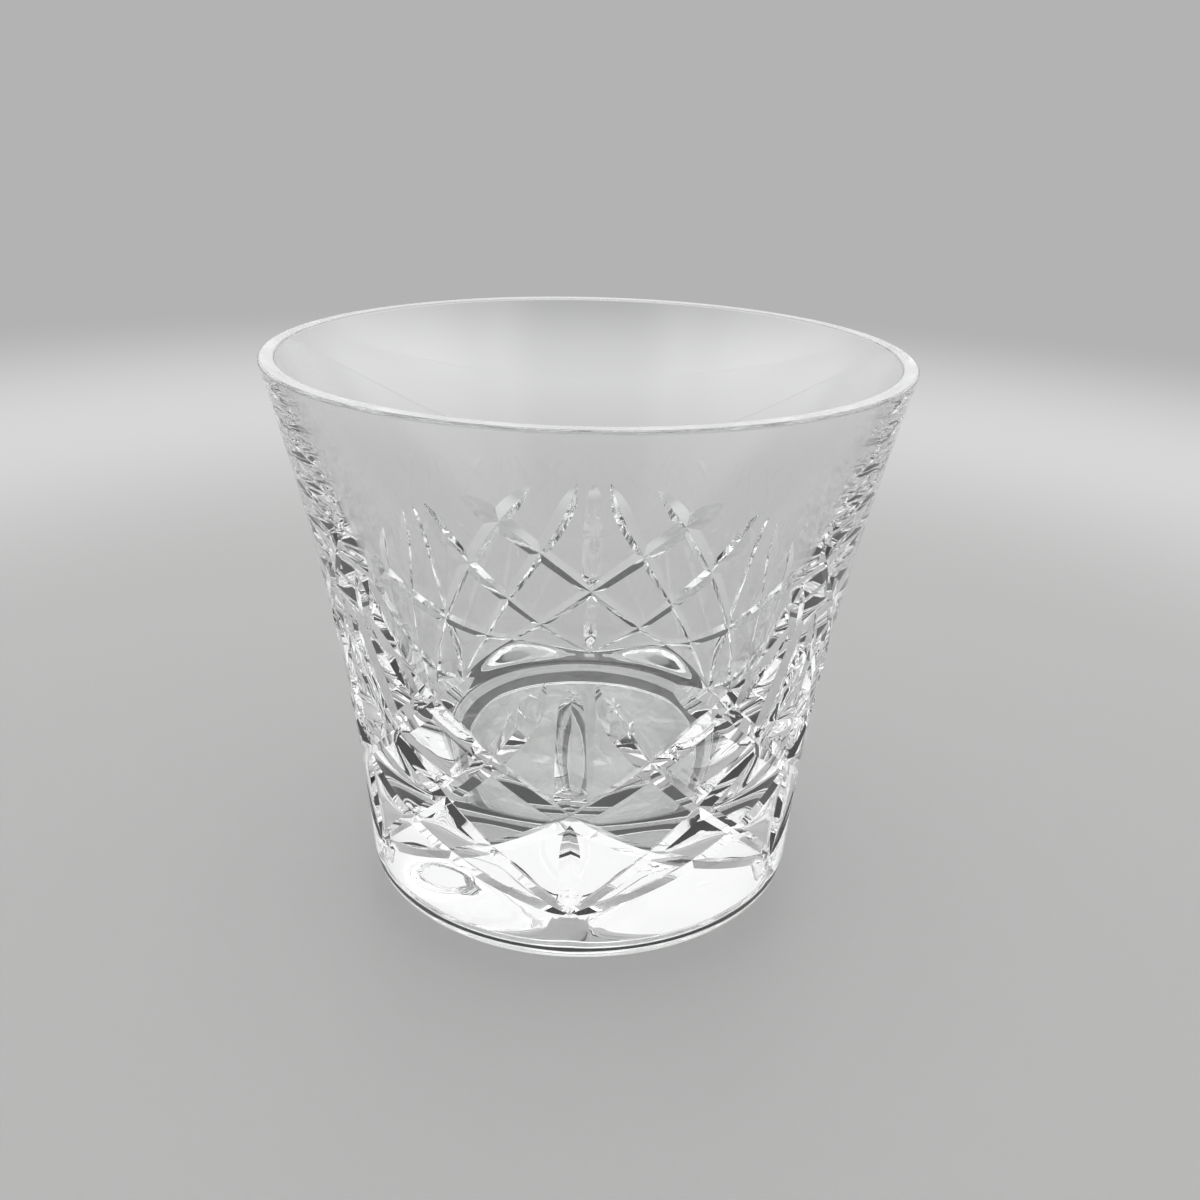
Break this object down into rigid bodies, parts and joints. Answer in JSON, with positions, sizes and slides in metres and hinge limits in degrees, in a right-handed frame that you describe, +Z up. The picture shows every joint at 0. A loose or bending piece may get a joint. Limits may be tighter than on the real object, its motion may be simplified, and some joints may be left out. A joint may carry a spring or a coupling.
{
  "type": "whiskey_tumbler",
  "caption": "Heavy-based old-fashioned whiskey tumbler in clear cut crystal, with a mitre-cut lattice, stars and upright leaves round its lower half.",
  "frame": {"origin": "centre of the foot ring, on the surface that the tumbler stands on", "axes": "+Z up along the tumbler's axis, -Y towards the front star"},
  "size_m": [0.094, 0.094, 0.083],
  "materials": {
    "crystal": "clear polished"
  },
  "bodies": {
    "root": {"tumbler": "crystal"}
  },
  "joints": []
}
